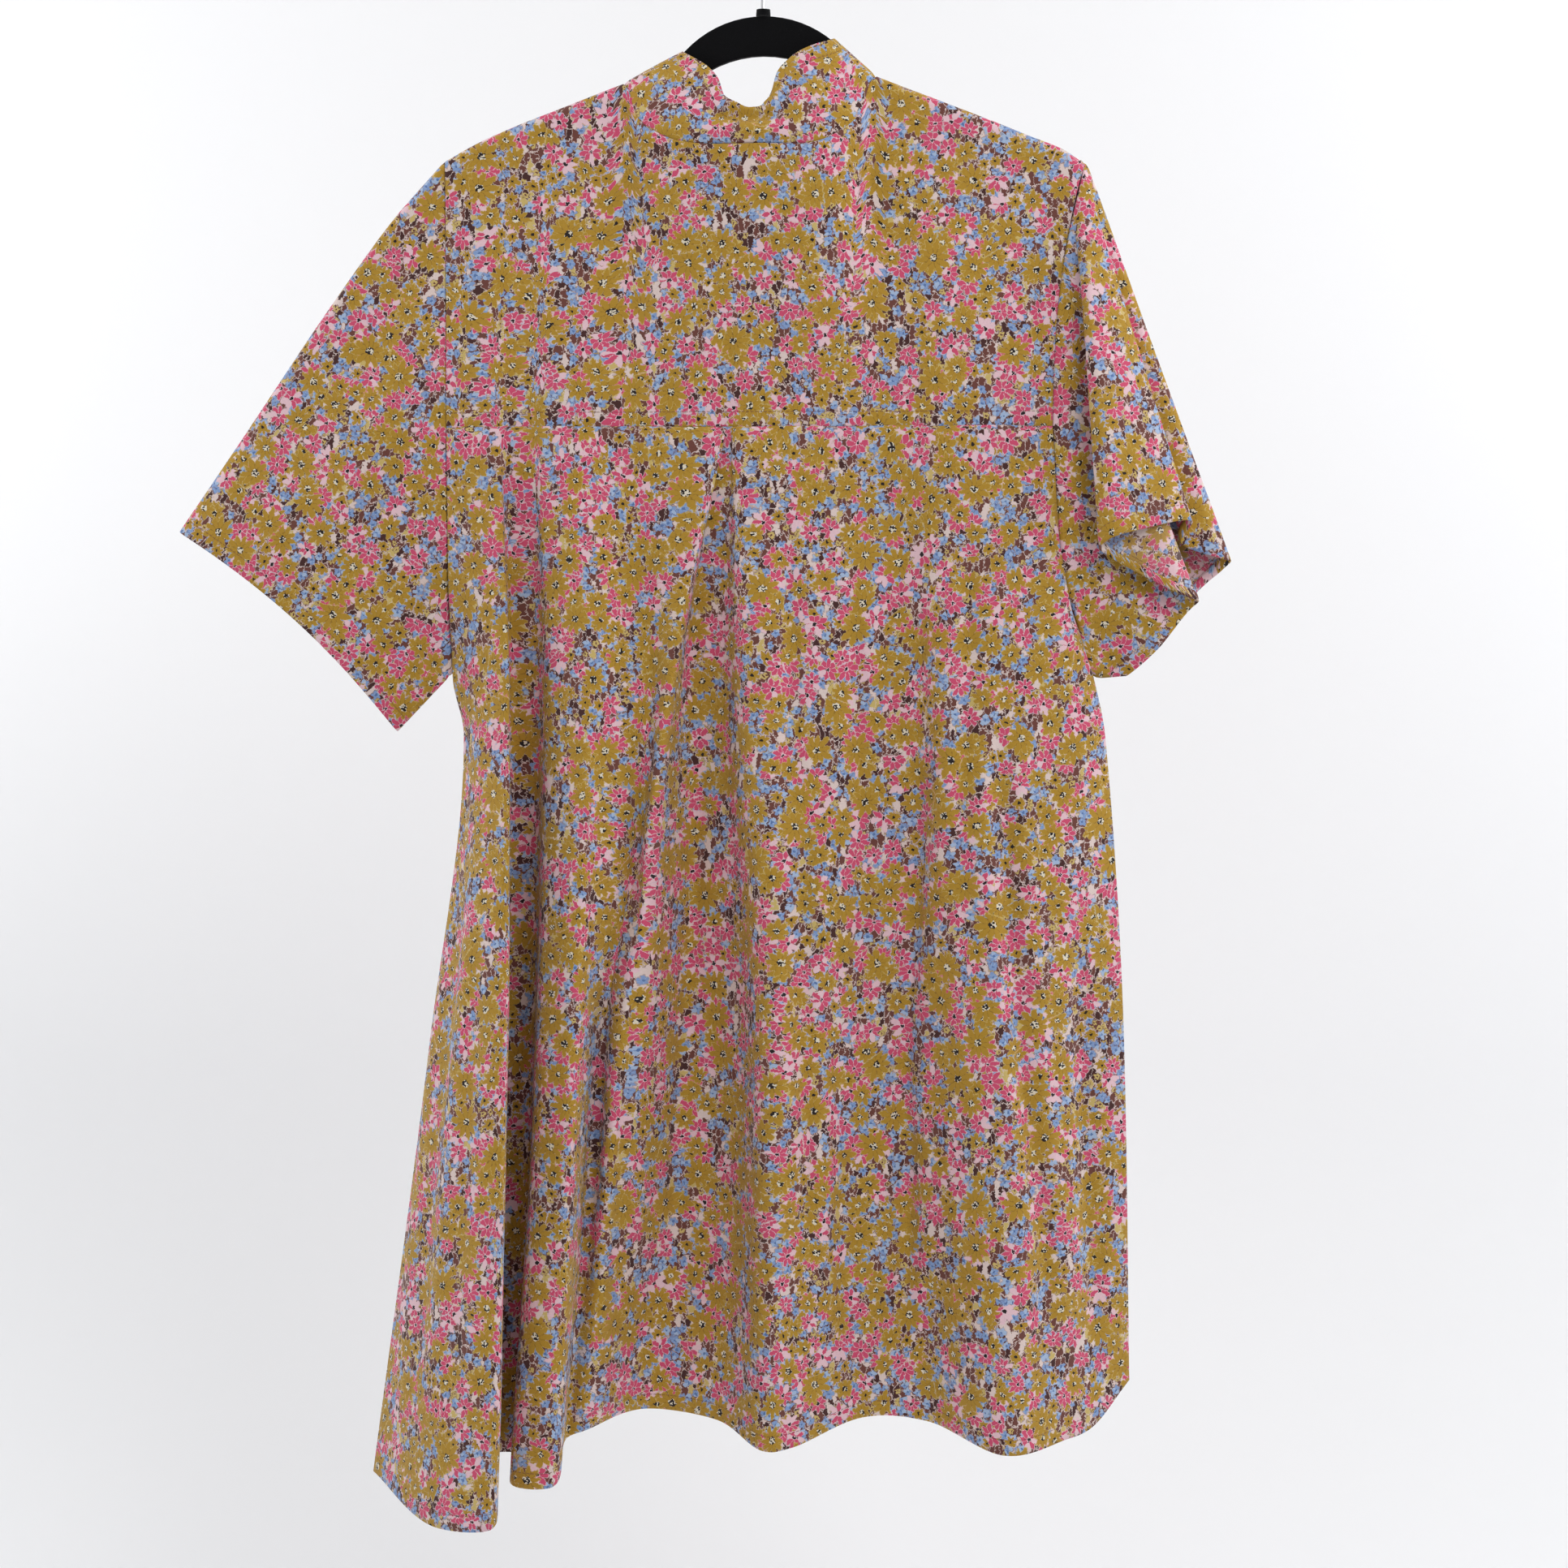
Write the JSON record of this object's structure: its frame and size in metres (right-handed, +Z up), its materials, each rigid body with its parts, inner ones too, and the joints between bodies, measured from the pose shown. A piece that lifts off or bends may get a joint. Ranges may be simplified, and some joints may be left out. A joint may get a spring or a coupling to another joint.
{
  "type": "mini dress on hanger",
  "caption": "Loose mini dress with a yoke, a pleated back, a soft collar and wide sleeves, hung from a flocked hanger.",
  "frame": {"origin": "the point on the inside of the hook's bend that bears on a rail", "axes": "+Z up, the back of the dress faces -Y, the wearer's left sleeve is on -X"},
  "size_m": [0.672, 0.1783, 1.0255],
  "materials": {
    "printed_cotton": "matte woven cloth with a small floral print",
    "black_flock": "matte flock on a moulded hanger",
    "plated_wire": "bright plated"
  },
  "bodies": {
    "root": {"back_panel": "printed_cotton", "back_yoke": "printed_cotton", "front_panel": "printed_cotton", "collar_stand": "printed_cotton", "sleeve_left": "printed_cotton", "sleeve_right": "printed_cotton", "hanger_body": "black_flock", "hanger_ferrule": "black_flock", "hanger_hook": "plated_wire"}
  },
  "joints": []
}
